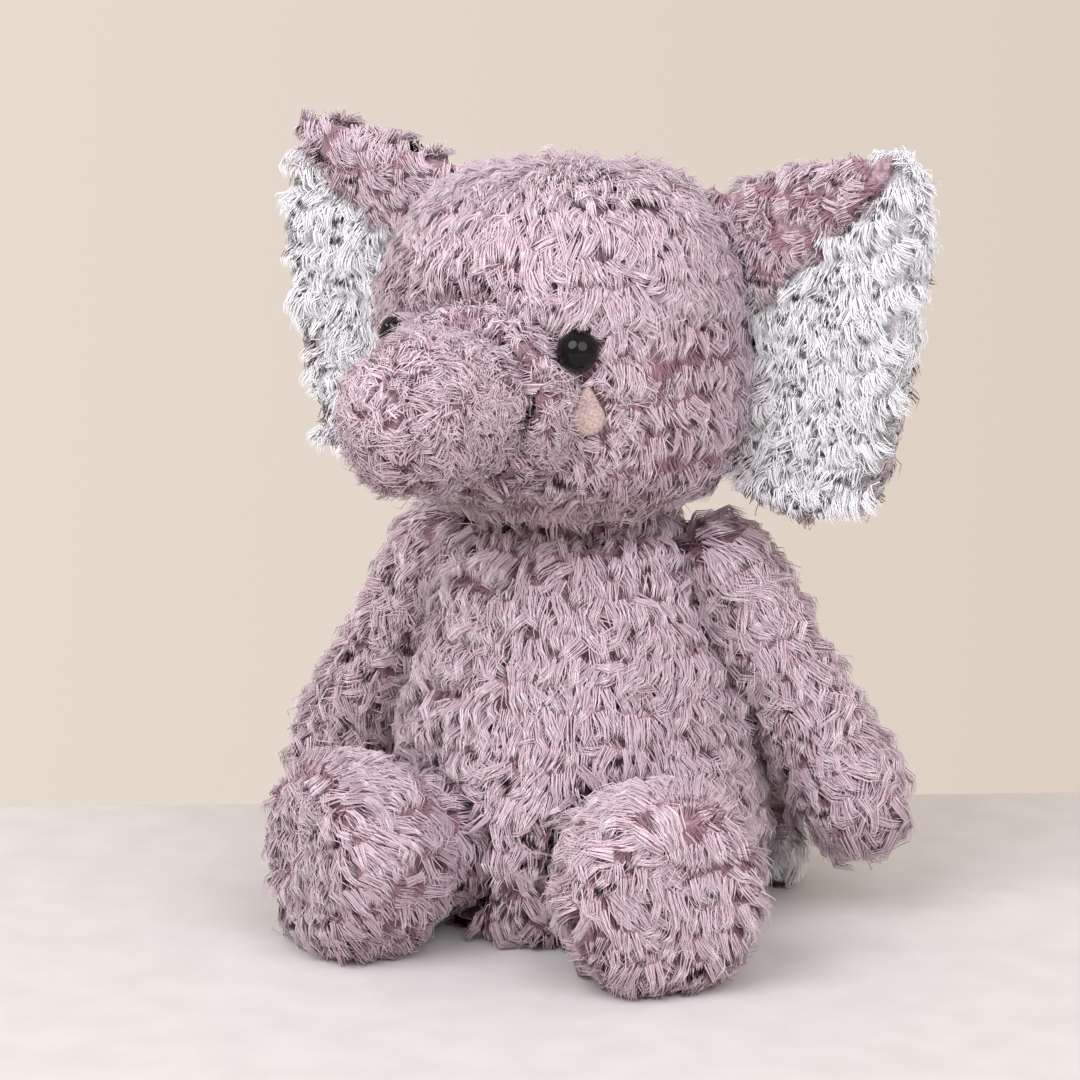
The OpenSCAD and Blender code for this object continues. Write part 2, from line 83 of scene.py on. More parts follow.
def make_camera():
    across = math.cos(CAMERA_ELEVATION)
    back = Vector((math.sin(CAMERA_AZIMUTH) * across, -math.cos(CAMERA_AZIMUTH) * across,
                   math.sin(CAMERA_ELEVATION)))
    camera = bpy.data.objects.new("camera", bpy.data.cameras.new("camera"))
    camera.data.lens = CAMERA_LENS
    camera.data.sensor_width = 36
    camera.location = CAMERA_TARGET + back * CAMERA_DISTANCE
    camera.rotation_mode = "QUATERNION"
    aim = (-back).to_track_quat("-Z", "Y")
    turn = Quaternion((0, 1, 0), CAMERA_YAW) @ Quaternion((1, 0, 0), CAMERA_PITCH)
    camera.rotation_quaternion = aim @ turn
    scene.collection.objects.link(camera)
    scene.camera = camera


def make_lamp(name, azimuth, elevation, distance, size, power, colour):
    """A soft round lamp, aimed at the toy. Its azimuth is counted round from the front to the left."""
    azimuth, elevation = math.radians(azimuth), math.radians(elevation)
    data = bpy.data.lights.new(name, "AREA")
    data.shape = "DISK"
    data.size = size
    data.energy = power
    data.color = colour[:3]
    lamp = bpy.data.objects.new(name, data)
    towards = Vector((math.sin(azimuth) * math.cos(elevation), -math.cos(azimuth) * math.cos(elevation),
                      math.sin(elevation)))
    lamp.location = CAMERA_TARGET + towards * distance
    lamp.rotation_mode = "QUATERNION"
    lamp.rotation_quaternion = (-towards).to_track_quat("-Z", "Y")
    scene.collection.objects.link(lamp)


def make_world():
    """Warm beige studio surroundings, a little darker towards the toy's left."""
    world = bpy.data.worlds.new("studio")
    scene.world = world
    world.use_nodes = True
    nodes, links = world.node_tree.nodes, world.node_tree.links
    background = nodes["Background"]
    place = nodes.new("ShaderNodeTexCoord")
    split = nodes.new("ShaderNodeSeparateXYZ")
    ramp = nodes.new("ShaderNodeValToRGB")
    spread = nodes.new("ShaderNodeMapRange")
    spread.inputs["From Min"].default_value = -0.45
    spread.inputs["From Max"].default_value = -0.12
    ramp.color_ramp.elements[0].color = srgb(231, 219, 208)
    ramp.color_ramp.elements[1].color = srgb(220, 207, 194)
    links.new(place.outputs["Generated"], split.inputs[0])
    links.new(split.outputs["X"], spread.inputs["Value"])
    links.new(spread.outputs[0], ramp.inputs[0])
    links.new(ramp.outputs[0], background.inputs["Color"])


def make_board():
    """The pale, faintly rough board that the toy sits on."""
    mesh = bpy.data.meshes.new("board")
    form = bmesh.new()
    bmesh.ops.create_cube(form, size=1.0)
    bmesh.ops.scale(form, vec=BOARD_SIZE, verts=form.verts)
    bmesh.ops.translate(form, vec=(0, -BOARD_SIZE[1] / 2, -BOARD_SIZE[2] / 2), verts=form.verts)
    form.to_mesh(mesh)
    board = bpy.data.objects.new("board", mesh)
    view = Vector((-math.sin(CAMERA_AZIMUTH), math.cos(CAMERA_AZIMUTH), 0))
    board.location = view * BOARD_BEHIND
    board.rotation_euler[2] = BOARD_TURN
    bevel = board.modifiers.new("edge", "BEVEL")
    bevel.width = BOARD_CORNER
    bevel.segments = 3
    mesh.materials.append(board_material())
    scene.collection.objects.link(board)


# ---------------------------------------------------------------- materials


def new_material(name):
    """A node material, its nodes, its links and its Principled shader."""
    material = bpy.data.materials.new(name)
    material.use_nodes = True
    nodes = material.node_tree.nodes
    return material, nodes, material.node_tree.links, nodes["Principled BSDF"]


def noise_between(nodes, links, scale, detail, low, high, start=0.35, stop=0.65):
    """A colour that wanders between two colours over the surface: its socket, and that of the noise."""
    place = nodes.new("ShaderNodeTexCoord")
    cloud = nodes.new("ShaderNodeTexNoise")
    ramp = nodes.new("ShaderNodeValToRGB")
    cloud.inputs["Scale"].default_value = scale
    cloud.inputs["Detail"].default_value = detail
    ramp.color_ramp.elements[0].position = start
    ramp.color_ramp.elements[0].color = low
    ramp.color_ramp.elements[1].position = stop
    ramp.color_ramp.elements[1].color = high
    links.new(place.outputs["Object"], cloud.inputs["Vector"])
    links.new(cloud.outputs["Fac"], ramp.inputs["Fac"])
    return ramp.outputs["Color"], cloud.outputs["Fac"]


def add_bump(nodes, links, shader, height, strength, distance):
    bump = nodes.new("ShaderNodeBump")
    bump.inputs["Strength"].default_value = strength
    bump.inputs["Distance"].default_value = distance
    links.new(height, bump.inputs["Height"])
    links.new(bump.outputs["Normal"], shader.inputs["Normal"])


def board_material():
    material, nodes, links, shader = new_material("board_paint")
    colour, height = noise_between(nodes, links, 60, 6, srgb(199, 195, 192), srgb(205, 201, 198))
    links.new(colour, shader.inputs["Base Color"])
    shader.inputs["Roughness"].default_value = 0.7
    add_bump(nodes, links, shader, height, 0.25, 0.0006)
    return material


def backing_material(name, dark, light):
    """The backing under the pile, mottled for the fuzz of its shortest fibres; the mauve one's darkness is
    also painted shade, so that gaps between tufts pass as fur in shade.
    """
    material, nodes, links, shader = new_material(name)
    colour, height = noise_between(nodes, links, 520, 6, dark, light)
    links.new(colour, shader.inputs["Base Color"])
    shader.inputs["Roughness"].default_value = 0.95
    add_bump(nodes, links, shader, height, 1.0, 0.0015)
    return material


def fibre_materials(name, shades):
    """One polyester finish for each shade: soft, rough, with a pale sheen at grazing angles."""
    made = []
    for i, shade in enumerate(shades):
        material, _, _, shader = new_material(f"{name}_{i}")
        shader.inputs["Base Color"].default_value = shade
        shader.inputs["Roughness"].default_value = 0.8
        shader.inputs["Specular IOR Level"].default_value = 0.12
        shader.inputs["Sheen Weight"].default_value = 0.3
        shader.inputs["Sheen Roughness"].default_value = 0.4
        shader.inputs["Sheen Tint"].default_value = srgb(240, 225, 232)
        material.diffuse_color = shade
        made.append(material)
    return made


# Shades of a fibre: two roots, three middles and four tips. The roots' darker shades are partly the pile's
# own colour and partly painted shade for the depths of the pile.
MAUVE_SHADES = [srgb(158, 121, 131), srgb(170, 133, 142),
                srgb(206, 182, 191), srgb(198, 172, 181), srgb(213, 191, 199),
                srgb(226, 208, 214), srgb(220, 200, 207), srgb(232, 216, 222), srgb(215, 193, 200)]
WHITE_SHADES = [srgb(230, 227, 229), srgb(236, 234, 236),
                srgb(242, 241, 243), srgb(239, 238, 240), srgb(245, 244, 246),
                srgb(249, 249, 250), srgb(246, 246, 248), srgb(251, 251, 251), srgb(244, 244, 247)]
ROOTS, MIDDLES, TIPS = (0, 1), (2, 3, 4), (5, 6, 7, 8)


def felt_material():
    material, nodes, links, shader = new_material("tusk_felt")
    colour, height = noise_between(nodes, links, 1500, 3, srgb(158, 134, 129), srgb(190, 167, 161),
                                   0.38, 0.6)
    links.new(colour, shader.inputs["Base Color"])
    shader.inputs["Roughness"].default_value = 0.95
    shader.inputs["Specular IOR Level"].default_value = 0.15
    add_bump(nodes, links, shader, height, 0.8, 0.0004)
    return material


def eye_material():
    material, nodes, links, shader = new_material("eye_plastic")
    colour, _ = noise_between(nodes, links, 300, 2, srgb(5, 4, 5), srgb(14, 12, 13))
    links.new(colour, shader.inputs["Base Color"])
    shader.inputs["Roughness"].default_value = 0.08
    shader.inputs["Specular IOR Level"].default_value = 0.22
    return material


def plain_material(name, low, high, roughness, scale):
    """A plastic or cloth of a slightly uneven colour."""
    material, nodes, links, shader = new_material(name)
    colour, height = noise_between(nodes, links, scale, 3, low, high)
    links.new(colour, shader.inputs["Base Color"])
    shader.inputs["Roughness"].default_value = roughness
    add_bump(nodes, links, shader, height, 0.2, 0.0003)
    return material


def finish_node(name, material):
    """Gives a CAD node that is kept its material."""
    mesh = frame["nodes"][name].data
    mesh.materials.clear()
    mesh.materials.append(material)


MAUVE_FIBRES = fibre_materials("mauve_fibre", MAUVE_SHADES)
WHITE_FIBRES = fibre_materials("white_fibre", WHITE_SHADES)
# The mauve backing is darker than the fibres' middles: painted shade for the gaps between tufts.
MAUVE_BACKING_PAINTED_SHADE = backing_material("mauve_backing_painted_shade", srgb(138, 108, 117), srgb(188, 160, 169))
WHITE_BACKING = backing_material("white_backing", srgb(205, 198, 202), srgb(222, 217, 220))

# ---------------------------------------------------------------- covers

ROOT_DEPTH = 2.5 * MM       # from the pressed-down pile's surface in the CAD down to the fibres' roots
PUMPING_FRAMES = 20


def applied(piece):
    """Replaces the piece's mesh by the one that its modifiers make."""
    graph = bpy.context.evaluated_depsgraph_get()
    mesh = bpy.data.meshes.new_from_object(piece.evaluated_get(graph), depsgraph=graph)
    piece.modifiers.clear()
    piece.data = mesh
    mesh.name = piece.name
    return piece


def coordinates(mesh):
    """A mesh's vertices, (vertices, 3)."""
    values = np.empty(len(mesh.vertices) * 3)
    mesh.vertices.foreach_get("co", values)
    return values.reshape(-1, 3)


def inflate(piece, pressure, reach):
    """Pumps the cover up like a filled cushion, each point by at most reach."""
    before = coordinates(piece.data)
    cloth = piece.modifiers.new("cloth", "CLOTH")
    cloth.settings.use_pressure = True
    cloth.settings.uniform_pressure_force = pressure
    cloth.settings.effector_weights.gravity = 0
    for step in range(1, PUMPING_FRAMES + 1):
        scene.frame_set(step)
    applied(piece)
    scene.frame_set(1)
    move = coordinates(piece.data) - before
    length = np.linalg.norm(move, axis=1, keepdims=True)
    capped = before + move * np.minimum(1, reach / np.maximum(length, 1e-9))
    piece.data.vertices.foreach_set("co", capped.ravel())
    piece.data.update()


def cover(name, nodes, body, material, voxel=3.5 * MM, inset=ROOT_DEPTH, smooth=6,
          pressure=3.0, reach=2 * MM):
    """A closed padded cover with the shape of some CAD nodes, drawn in to where the pile is rooted."""
    form = bmesh.new()
    for node in nodes:
        form.from_mesh(frame["nodes"][node].data)
    piece = bpy.data.objects.new(name, bpy.data.meshes.new(name))
    form.to_mesh(piece.data)
    form.free()
    scene.collection.objects.link(piece)
    remesh = piece.modifiers.new("remesh", "REMESH")
    remesh.mode = "VOXEL"
    remesh.voxel_size = voxel
    remesh.use_smooth_shade = True
    shrink = piece.modifiers.new("shrink", "DISPLACE")
    shrink.strength = -inset
    shrink.mid_level = 0
    relax = piece.modifiers.new("relax", "SMOOTH")
    relax.iterations = smooth
    relax.factor = 0.5
    applied(piece)
    inflate(piece, pressure, reach)
    piece.modifiers.new("finer", "SUBSURF").levels = 1
    piece.modifiers["finer"].render_levels = 1
    applied(piece)
    piece.data.materials.clear()
    piece.data.materials.append(material)
    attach(piece, body)
    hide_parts(*nodes)
    return piece


def tree_of(*pieces):
    """What find_nearest and ray_cast need for the surface of some pieces."""
    points, faces = [], []
    for piece in pieces:
        first = len(points)
        points += [tuple(v.co) for v in piece.data.vertices]
        faces += [[first + i for i in p.vertices] for p in piece.data.polygons]
    return BVHTree.FromPolygons(points, faces)


# ---------------------------------------------------------------- pile

MOST_MEETINGS = 20          # of one ray with one surface


def unit(vectors):
    """The vectors, each made one metre long."""
    return vectors / np.maximum(np.linalg.norm(vectors, axis=-1, keepdims=True), 1e-12)


def nearest(tree, points):
    """The surface's closest points and their normals, each (points, 3)."""
    found = [tree.find_nearest(p) for p in points]
    return np.array([f[0] for f in found]), np.array([f[1] for f in found])


def inside(tree, point):
    """Whether a point is within a closed surface: a ray from it meets the surface an odd number of times."""
    start, ahead, meetings = Vector(point), Vector((0.31, 0.22, 0.92)).normalized(), 0
    while meetings < MOST_MEETINGS:
        hit = tree.ray_cast(start, ahead)[0]
        if hit is None:
            break
        start = hit + ahead * 1e-6
        meetings += 1
    return meetings % 2 == 1


def along_surface(direction, normals):
    """A direction laid into the surface."""
    return unit(direction - (direction * normals).sum(-1, keepdims=True) * normals)


class Pile:
    """How one kind of plush grows. Angles are in degrees and count up from the surface."""

    def __init__(self, pitch, spacing, length, strands, fibres, rise, width=0.36 * MM, fan=34, mess=11,
                 depth=1.3 * MM, bundle=1.3 * MM, clump=0.5, ragged=0.2, sway=30, curl=10, follow=True,
                 floor=0.3 * MM):
        self.pitch = pitch          # from row to row
        self.spacing = spacing      # from tuft to tuft
        self.length = length
        self.strands = strands      # in a tuft
        self.fibres = fibres        # in a strand
        self.rise = rise            # slopes of a strand's three parts, from its root
        self.width = width          # of a fibre
        self.fan = fan              # angle between a tuft's middle strand and its outer ones
        self.mess = mess            # how unevenly the strands point
        self.depth = depth          # of a tuft's root, along the flow
        self.bundle = bundle        # a strand's radius at its root
        self.clump = clump          # how much a strand narrows towards its tip
        self.ragged = ragged        # how unevenly the fibres end
        self.sway = sway            # how far the flow wanders
        self.curl = curl            # turn at each of a strand's bends
        self.follow = follow        # whether strands keep to the surface or go off its edge
        self.floor = floor          # the lowest height over the board


LONG = Pile(7.6 * MM, 9 * MM, 14 * MM, 8, 14, (62, 22, -22), width=0.4 * MM, sway=16)
HEAD = Pile(6.9 * MM, 8.6 * MM, 13 * MM, 8, 15, (58, 16, -22), width=0.4 * MM, sway=18)
FACE = Pile(6 * MM, 4.6 * MM, 9 * MM, 5, 14, (56, 20, -16), fan=30, mess=20, depth=1.2 * MM)
FOOT = Pile(6.9 * MM, 8.8 * MM, 13 * MM, 8, 15, (58, 20, -20), width=0.4 * MM, sway=18)
ARM = Pile(7.2 * MM, 8.8 * MM, 14 * MM, 8, 14, (58, 20, -20), width=0.4 * MM, sway=18)
EAR = Pile(7.3 * MM, 8.8 * MM, 11.5 * MM, 8, 15, (54, 16, -24), width=0.4 * MM, sway=12, follow=False)
CREST = Pile(6 * MM, 5.8 * MM, 10 * MM, 6, 15, (50, 14, -20))
FRINGE = Pile(5 * MM, 3 * MM, 7.5 * MM, 6, 14, (46, 6, -34), follow=False)
SHORT = Pile(5 * MM, 3.4 * MM, 8 * MM, 5, 10, (62, 24, -16), width=0.4 * MM, fan=50, mess=26,
             depth=1.5 * MM, bundle=1.3 * MM, clump=0.3, sway=80, curl=30)
BROW = Pile(5 * MM, 3.6 * MM, 13 * MM, 5, 13, (60, 24, -6), fan=24)
TAIL = Pile(5 * MM, 4.6 * MM, 10 * MM, 5, 12, (58, 25, 0), fan=30)
TUFT = Pile(4 * MM, 4 * MM, 12 * MM, 6, 14, (40, 10, 0), fan=20, follow=False)


def wave(points, size, seed):
    """A smooth random number between -1 and 1 for each point."""
    shift = Vector((seed * 3.7, seed * 1.3, seed * 2.1))
    return np.array([noise.noise(Vector(p) / size + shift) for p in points])


def strand_lines(tree, seeds, pile, rng, closed_off):
    """Centre lines of the strands, and the directions across and out of the surface, each (strands, 4, 3)."""
    centres, normals, flows = seeds
    tufts, count = len(centres), pile.strands
    spread = np.linspace(-1, 1, count)[None] + rng.normal(0, 0.6 / count, (tufts, count))
    sides = np.cross(normals, flows)
    slide = rng.normal(0, pile.depth, (tufts, count))
    roots = (centres[:, None] + spread[..., None] * sides[:, None] * pile.spacing / 2
             + slide[..., None] * flows[:, None]).reshape(-1, 3)
    turn = pile.sway * wave(centres, 24 * MM, 1) + rng.normal(0, pile.mess * 0.6, tufts)
    angle = np.radians(pile.fan * spread + rng.normal(0, pile.mess, (tufts, count)) + turn[:, None]).ravel()
    heading = (np.cos(angle)[:, None] * np.repeat(flows, count, 0)
               + np.sin(angle)[:, None] * np.repeat(sides, count, 0))
    length = (pile.length * (1 - 0.16 * spread ** 2) * rng.normal(1, 0.09, (tufts, count))
              * rng.normal(1, 0.07, (tufts, 1))).ravel()
    lift = (rng.normal(0, 8, (tufts, count)) + rng.normal(0, 9, (tufts, 1))).ravel()
    curl = (rng.normal(0, pile.curl * 0.5, (tufts, count)) + rng.normal(0, pile.curl, (tufts, 1))).ravel()
    if pile.follow:
        spot, out = nearest(tree, roots)
    else:
        spot, out = roots, np.repeat(normals, count, 0)
    kept = np.array([not closed_off(p) for p in spot]) if closed_off else np.ones(len(spot), bool)
    spot, out, heading, length, lift, curl = (a[kept] for a in (spot, out, heading, length, lift, curl))
    curl = np.radians(curl)[:, None]
    heading = along_surface(heading, out)
    height = np.zeros(len(spot))
    points, outs, acrosses = [spot], [out], [np.cross(out, heading)]
    step = length / 3
    for rise in pile.rise:
        slope = np.radians(rise + lift)
        onward = spot + heading * (np.cos(slope) * step)[:, None]
        if pile.follow:
            onward, out = nearest(tree, onward)
        if closed_off:
            stopped = np.array([closed_off(p) for p in onward])
            onward[stopped] = spot[stopped]
            slope[stopped] = np.radians(60)
            step = np.where(stopped, step * 0.4, step)
        spot = onward
        heading = along_surface(heading * np.cos(curl) + np.cross(out, heading) * np.sin(curl), out)
        height = np.maximum(height + np.sin(slope) * step, 0.4 * MM)
        points.append(spot + out * height[:, None])
        outs.append(out)
        acrosses.append(np.cross(out, heading))
    return np.stack(points, 1), np.stack(acrosses, 1), np.stack(outs, 1)


def fibres(lines, acrosses, outs, pile, rng):
    """Each strand's fibres: centre lines and outward directions, each (fibres, 4, 3), and their widths."""
    strands, count = len(lines), pile.fibres
    offset = rng.normal(0, 1, (strands, count, 2)) * pile.bundle
    closing = 1 - pile.clump * np.array([0, 0.35, 0.75, 1.0])
    stray = np.where(rng.random((strands, count)) < 0.12, 2.4, 1.0)
    closing = closing[None, None] * np.where(np.arange(4) > 1, stray[..., None], 1.0)
    flows = np.cross(acrosses, outs)
    second = np.concatenate([flows[:, :1], outs[:, 1:] * 0.7], 1)
    made = (lines[:, None] + acrosses[:, None] * (offset[..., :1] * closing)[..., None]
            + second[:, None] * (offset[..., 1:] * closing)[..., None])
    made[:, :, 1:] += rng.normal(0, 0.22 * MM, (strands, count, 3, 3)) * np.array([0.6, 1, 1.6])[:, None]
    share = 1 - pile.ragged * rng.random((strands, count)) ** 1.5 * 2
    made[:, :, 3] = made[:, :, 2] + (made[:, :, 3] - made[:, :, 2]) * share[..., None]
    made[..., 2] = np.maximum(made[..., 2], pile.floor)
    width = pile.width * rng.uniform(0.75, 1.25, (strands, count))
    return made.reshape(-1, 4, 3), np.repeat(outs, count, 0), width.ravel()


OUTWARD = 0.86              # how much of a fibre's shading follows the cover under it


def fibre_mesh(name, lines, outs, widths, shades):
    """Closed three-sided tubes along the lines, tapering to a point.

    shades gives the material numbers of each fibre's root, middle and tip, (fibres, 3).
    """
    count = len(lines)
    ahead = np.concatenate([lines[:, 1:2] - lines[:, :1], lines[:, 2:] - lines[:, :-2]], 1)
    ahead = unit(ahead)
    side = unit(np.cross(ahead, np.array([0.31, 0.17, 0.94])))
    top = np.cross(ahead, side)
    taper = np.array([0.8, 1.0, 0.7]) / 2
    rays = [side * math.cos(2 * math.pi * c / 3) + top * math.sin(2 * math.pi * c / 3) for c in range(3)]
    rays = np.stack(rays, 2)
    rings = lines[:, :3, None] + rays * (widths[:, None] * taper)[..., None, None]
    points = np.concatenate([rings.reshape(count, 9, 3), lines[:, 3:]], 1)
    normals = np.concatenate([(rays + outs[:, :3, None] * OUTWARD / (1 - OUTWARD)).reshape(count, 9, 3),
                              outs[:, 3:]], 1)
    sides = [[r * 3 + c, r * 3 + (c + 1) % 3, r * 3 + 3 + (c + 1) % 3, r * 3 + 3 + c]
             for r in range(2) for c in range(3)]
    ends = [[6 + c, 6 + (c + 1) % 3, 9] for c in range(3)] + [[2, 1, 0]]
    corners = np.array([v for face in sides + ends for v in face])
    sizes = np.array([4] * 6 + [3] * 4)
    shade_of = np.array([0, 0, 0, 1, 1, 1, 2, 2, 2, 0])
    mesh = bpy.data.meshes.new(name)
    mesh.vertices.add(count * 10)
    mesh.vertices.foreach_set("co", points.astype(np.float32).ravel())
    loops = (corners[None] + np.arange(count)[:, None] * 10).ravel()
    mesh.loops.add(len(loops))
    mesh.loops.foreach_set("vertex_index", loops.astype(np.int32))
    mesh.polygons.add(count * 10)
    starts = np.concatenate([[0], np.cumsum(np.tile(sizes, count))[:-1]])
    mesh.polygons.foreach_set("loop_start", starts.astype(np.int32))
    mesh.polygons.foreach_set("material_index", shades[:, shade_of].astype(np.int32).ravel())
    mesh.update(calc_edges=True)
    mesh.shade_smooth()
    mesh.normals_split_custom_set_from_vertices(unit(normals).reshape(-1, 3))
    return mesh


FIBRES_IN_A_PIECE = 12000


def grow(name, tree, seeds, pile, materials, body, nodes, seed, closed_off=None):
    """One panel's pile, as one piece or as a few with equal shares of its height."""
    if not len(seeds[0]):
        return
    rng = np.random.default_rng(seed)
    lines, acrosses, outs = strand_lines(tree, seeds, pile, rng, closed_off)
    strands = len(lines)
    if not strands:
        return
    order = np.argsort(lines[:, 0, 2])
    lines, acrosses, outs = lines[order], acrosses[order], outs[order]
    centre_lines, outward, widths = fibres(lines, acrosses, outs, pile, rng)
    kinds = [len(ROOTS), len(MIDDLES), len(TIPS)]
    strand_shade = rng.integers(0, kinds, (strands, 3))
    own_shade = rng.integers(0, kinds, (strands, pile.fibres, 3))
    own = rng.random((strands, pile.fibres, 1)) < 0.45
    shade = np.where(own, own_shade, strand_shade[:, None]) + np.array([ROOTS[0], MIDDLES[0], TIPS[0]])
    shade = shade.reshape(-1, 3)
    shares = math.ceil(len(shade) / FIBRES_IN_A_PIECE)
    for number, share in enumerate(np.array_split(np.arange(len(shade)), shares)):
        piece_name = name if shares == 1 else f"{name}_{number + 1}"
        mesh = fibre_mesh(piece_name, centre_lines[share], outward[share], widths[share], shade[share])
        piece = bpy.data.objects.new(piece_name, mesh)
        for material in materials:
            mesh.materials.append(material)
        scene.collection.objects.link(piece)
        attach(piece, body)
        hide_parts(*nodes)


FAR = 0.3                   # where the rays that look for a cover from outside start


def rows_round(tree, centre, axis, front, pile, rng):
    """Tuft places in rings round an axis, from its top end down: points, normals and flow directions."""
    centre, axis, front = np.array(centre), unit(np.array(axis)), unit(np.array(front))
    side = np.cross(axis, front)
    angles = np.radians(np.linspace(0, 180, 181))
    shape = []
    for a in angles:
        ray = axis * math.cos(a) + front * math.sin(a)
        shape.append(np.array(tree.ray_cast(Vector(centre + ray * FAR), Vector(-ray))[0]) - centre)
    shape = np.array(shape)
    travelled = np.concatenate([[0], np.cumsum(np.linalg.norm(np.diff(shape, axis=0), axis=1))])
    rings = max(1, int(travelled[-1] / pile.pitch))
    seeds = []
    for ring in range(rings):
        place = (ring + (0.12 if ring == 0 else 0.4)) * travelled[-1] / rings
        radius = np.interp(place, travelled, np.linalg.norm(np.cross(shape, axis), axis=1))
        count = max(3, round(2 * math.pi * radius / pile.spacing))
        start = rng.random()
        for i in range(count):
            turn = 2 * math.pi * (i + start + rng.normal(0, 0.06)) / count
            tilt = np.interp(place + rng.normal(0, 0.07) * pile.pitch, travelled, angles)
            ray = axis * math.cos(tilt) + (front * math.cos(turn) + side * math.sin(turn)) * math.sin(tilt)
            hit, normal, _, _ = tree.ray_cast(Vector(centre + ray * FAR), Vector(-ray))
            if hit is None:
                continue
            normal = np.array(normal)
            flow = -axis - (-axis @ normal) * normal
            if ring == 0:
                flow = along_surface(rng.normal(0, 1, 3), normal)
            seeds.append((np.array(hit), normal, unit(flow)))
    return tuple(np.array([s[k] for s in seeds]) for k in range(3))


def chosen(seeds, test):
    """The seeds whose point passes a test."""
    keep = np.array([bool(test(p, n)) for p, n in zip(seeds[0], seeds[1])])
    return tuple(a[keep] for a in seeds)


# ---------------------------------------------------------------- the parts

make_camera()
make_world()
make_board()
make_lamp("key", -22, 42, 2.2, 1.7, 42, srgb(240, 245, 255))
make_lamp("fill", 46, 35, 2.2, 1.9, 34, srgb(238, 242, 255))
scene.view_settings.view_transform = "Standard"


def middle(*nodes):
    """The centre of the box round some CAD nodes."""
    lows, highs = zip(*(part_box(n) for n in nodes))
    return np.array([(min(c) + max(d)) / 2 for c, d in zip(zip(*lows), zip(*highs))])


def node_tree(*nodes):
    """What find_nearest needs for some CAD nodes."""
    return tree_of(*(frame["nodes"][n] for n in nodes))


def joined(*groups):
    """Several groups of seeds as one."""
    return tuple(np.concatenate([g[k] for g in groups]) for k in range(3))


def clear_of(seeds, *trees, margin=3 * MM):
    """The seeds that have a place at that height over them outside the other parts."""
    def free(p, n):
        return not any(inside(t, p + n * margin) for t in trees)
    return chosen(seeds, free)


def scatter(piece, spacing, rng, flow_at):
    """Tuft places spread evenly over a cover."""
    mesh = piece.data
    mesh.calc_loop_triangles()
    corners = np.array([[tuple(mesh.vertices[i].co) for i in t.vertices] for t in mesh.loop_triangles])
    cross = np.cross(corners[:, 1] - corners[:, 0], corners[:, 2] - corners[:, 0])
    area = np.linalg.norm(cross, axis=1) / 2
    tries = int(area.sum() / spacing ** 2 * 14)
    picked = rng.choice(len(area), tries, p=area / area.sum())
    u, v = rng.random((2, tries))
    u, v = np.where(u + v > 1, 1 - u, u), np.where(u + v > 1, 1 - v, v)
    triangle = corners[picked]
    points = (triangle[:, 0] + u[:, None] * (triangle[:, 1] - triangle[:, 0])
              + v[:, None] * (triangle[:, 2] - triangle[:, 0]))
    normals = unit(cross[picked])
    kept = []
    for i, p in enumerate(points):
        if not kept or np.min(np.linalg.norm(points[kept] - p, axis=1)) > spacing:
            kept.append(i)
    points, normals = points[kept], normals[kept]
    return points, normals, along_surface(np.array([flow_at(p) for p in points]), normals)


def grow_panels(tree, seeds, pile, materials, body, panels, seed, closed_off=None):
    """Grows each panel's share of the tufts: those that are nearest to that CAD panel."""
    trees = [node_tree(n) for n in panels]
    owner = np.array([np.argmin([t.find_nearest(p)[3] for t in trees]) for p in seeds[0]])
    for number, panel in enumerate(panels):
        grow(panel + "_pile", tree, tuple(a[owner == number] for a in seeds), pile, materials, body,
             [panel], seed * 10 + number, closed_off)


SIDES = ("left", "right")
HEAD_FACES = unit(np.array([-0.22495, -0.97437, 0]))
TRUNK_FACES = unit(np.array([-0.39073, -0.9205, 0]))
LEG_FACES = {"left": np.array([0.54464, -0.83867, 0]), "right": np.array([-0.62932, -0.77715, 0])}

# Covers
BODY_PANELS = ["body_front_left", "body_front_right", "body_back_left", "body_back_right"]
HEAD_PANELS = ["head_left", "head_right", "head_gusset", "chin_panel"]
TRUNK_PANELS = ["trunk_left", "trunk_right", "trunk_gusset"]
body_cover = cover("body_cover", [*BODY_PANELS, "body_stuffing", "seat_panel"], "torso",
                   MAUVE_BACKING_PAINTED_SHADE, voxel=4 * MM)
neck_cover = cover("neck_cover", ["neck_stuffing"], "neck", MAUVE_BACKING_PAINTED_SHADE, inset=0.5 * MM)
head_cover = cover("head_cover", [*HEAD_PANELS, "head_stuffing"], "head", MAUVE_BACKING_PAINTED_SHADE,
                   voxel=4 * MM)
muzzle_cover = cover("muzzle_cover", ["muzzle"], "head", MAUVE_BACKING_PAINTED_SHADE, voxel=2.5 * MM,
                     inset=1.5 * MM)
trunk_cover = cover("trunk_cover", [*TRUNK_PANELS, "trunk_stuffing"], "trunk", MAUVE_BACKING_PAINTED_SHADE,
                    voxel=2.5 * MM, inset=2 * MM)
tail_cover = cover("tail_sleeve", ["tail_cover"], "tail", MAUVE_BACKING_PAINTED_SHADE, voxel=1.5 * MM,
                   inset=0.8 * MM, smooth=2)
tuft_cover = cover("tail_tuft_core", ["tail_tuft"], "tail", WHITE_BACKING, voxel=1.5 * MM,
                   inset=0.8 * MM, smooth=2)
FELT, EYE = felt_material(), eye_material()
WASHER = plain_material("washer_plastic", srgb(222, 219, 212), srgb(236, 234, 229), 0.4, 200)
POUCH = plain_material("pouch_cloth", srgb(226, 222, 212), srgb(240, 237, 230), 0.9, 1200)
THREAD = plain_material("seam_thread", srgb(150, 116, 128), srgb(172, 138, 150), 0.7, 1500)
finish_node("pellet_pouch", POUCH)
finish_node("closing_stitches", THREAD)
arm_covers, leg_covers, ear_linings, ear_backs = {}, {}, {}, {}
